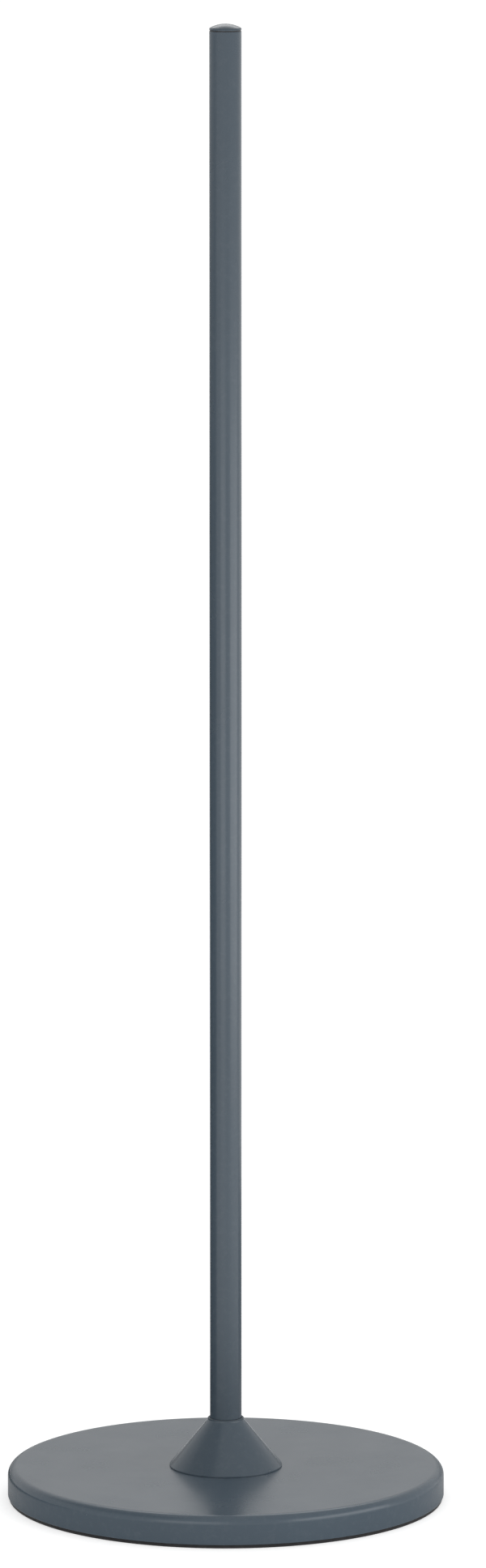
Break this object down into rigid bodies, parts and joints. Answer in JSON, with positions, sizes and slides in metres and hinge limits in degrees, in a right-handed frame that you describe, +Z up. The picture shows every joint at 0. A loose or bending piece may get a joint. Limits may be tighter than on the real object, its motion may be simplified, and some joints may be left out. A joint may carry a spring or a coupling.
{
  "type": "display pole stand",
  "caption": "Freestanding round display pole on a weighted disc base, with a conical foot collar that slides up the pole and a crowned push-in cap over a threaded top.",
  "frame": {"origin": "on the floor under the pole's axis, at the centre of the round base", "axes": "+Z up along the pole; the stand is round, so X and Y are only told apart by its two locating pins, which lie on X"},
  "size_m": [0.35, 0.35, 1.183],
  "materials": {
    "slate_coat": "satin slate grey powder coat",
    "black_rubber": "matte",
    "slate_rubber": "matte, matched to the coat",
    "cast_iron": "as cast, oiled",
    "grey_foam": "closed cell foam",
    "fibre_gasket": "matte sheet",
    "zinc_steel": "zinc plated",
    "primed_steel": "matt primer",
    "brass": "machined",
    "black_felt": "felt",
    "black_nylon": "satin"
  },
  "bodies": {
    "stand": {"floor_ring": "black_rubber", "base_cover": "slate_coat", "ballast_disc": "cast_iron", "rattle_pads": "grey_foam", "base_bolt": "zinc_steel", "spring_washer": "zinc_steel", "plain_washer": "zinc_steel", "foot_plug": "zinc_steel", "foot_flange": "primed_steel", "foot_gasket": "fibre_gasket", "locating_pins": "zinc_steel", "pole_tube": "slate_coat", "top_insert": "brass"},
    "collar": {"cone_collar": "slate_coat", "collar_grommet": "slate_rubber", "collar_felt": "black_felt"},
    "cap": {"top_cap": "slate_coat", "cap_washer": "black_nylon", "cap_o_rings": "black_rubber"}
  },
  "joints": [
    {"name": "collar_lift", "type": "slide", "parent": "stand", "child": "collar", "axis": [0, 0, 1], "range_m": [0, 1.1]},
    {"name": "cap_lift", "type": "slide", "parent": "stand", "child": "cap", "axis": [0, 0, 1], "range_m": [0, 0.1]}
  ]
}
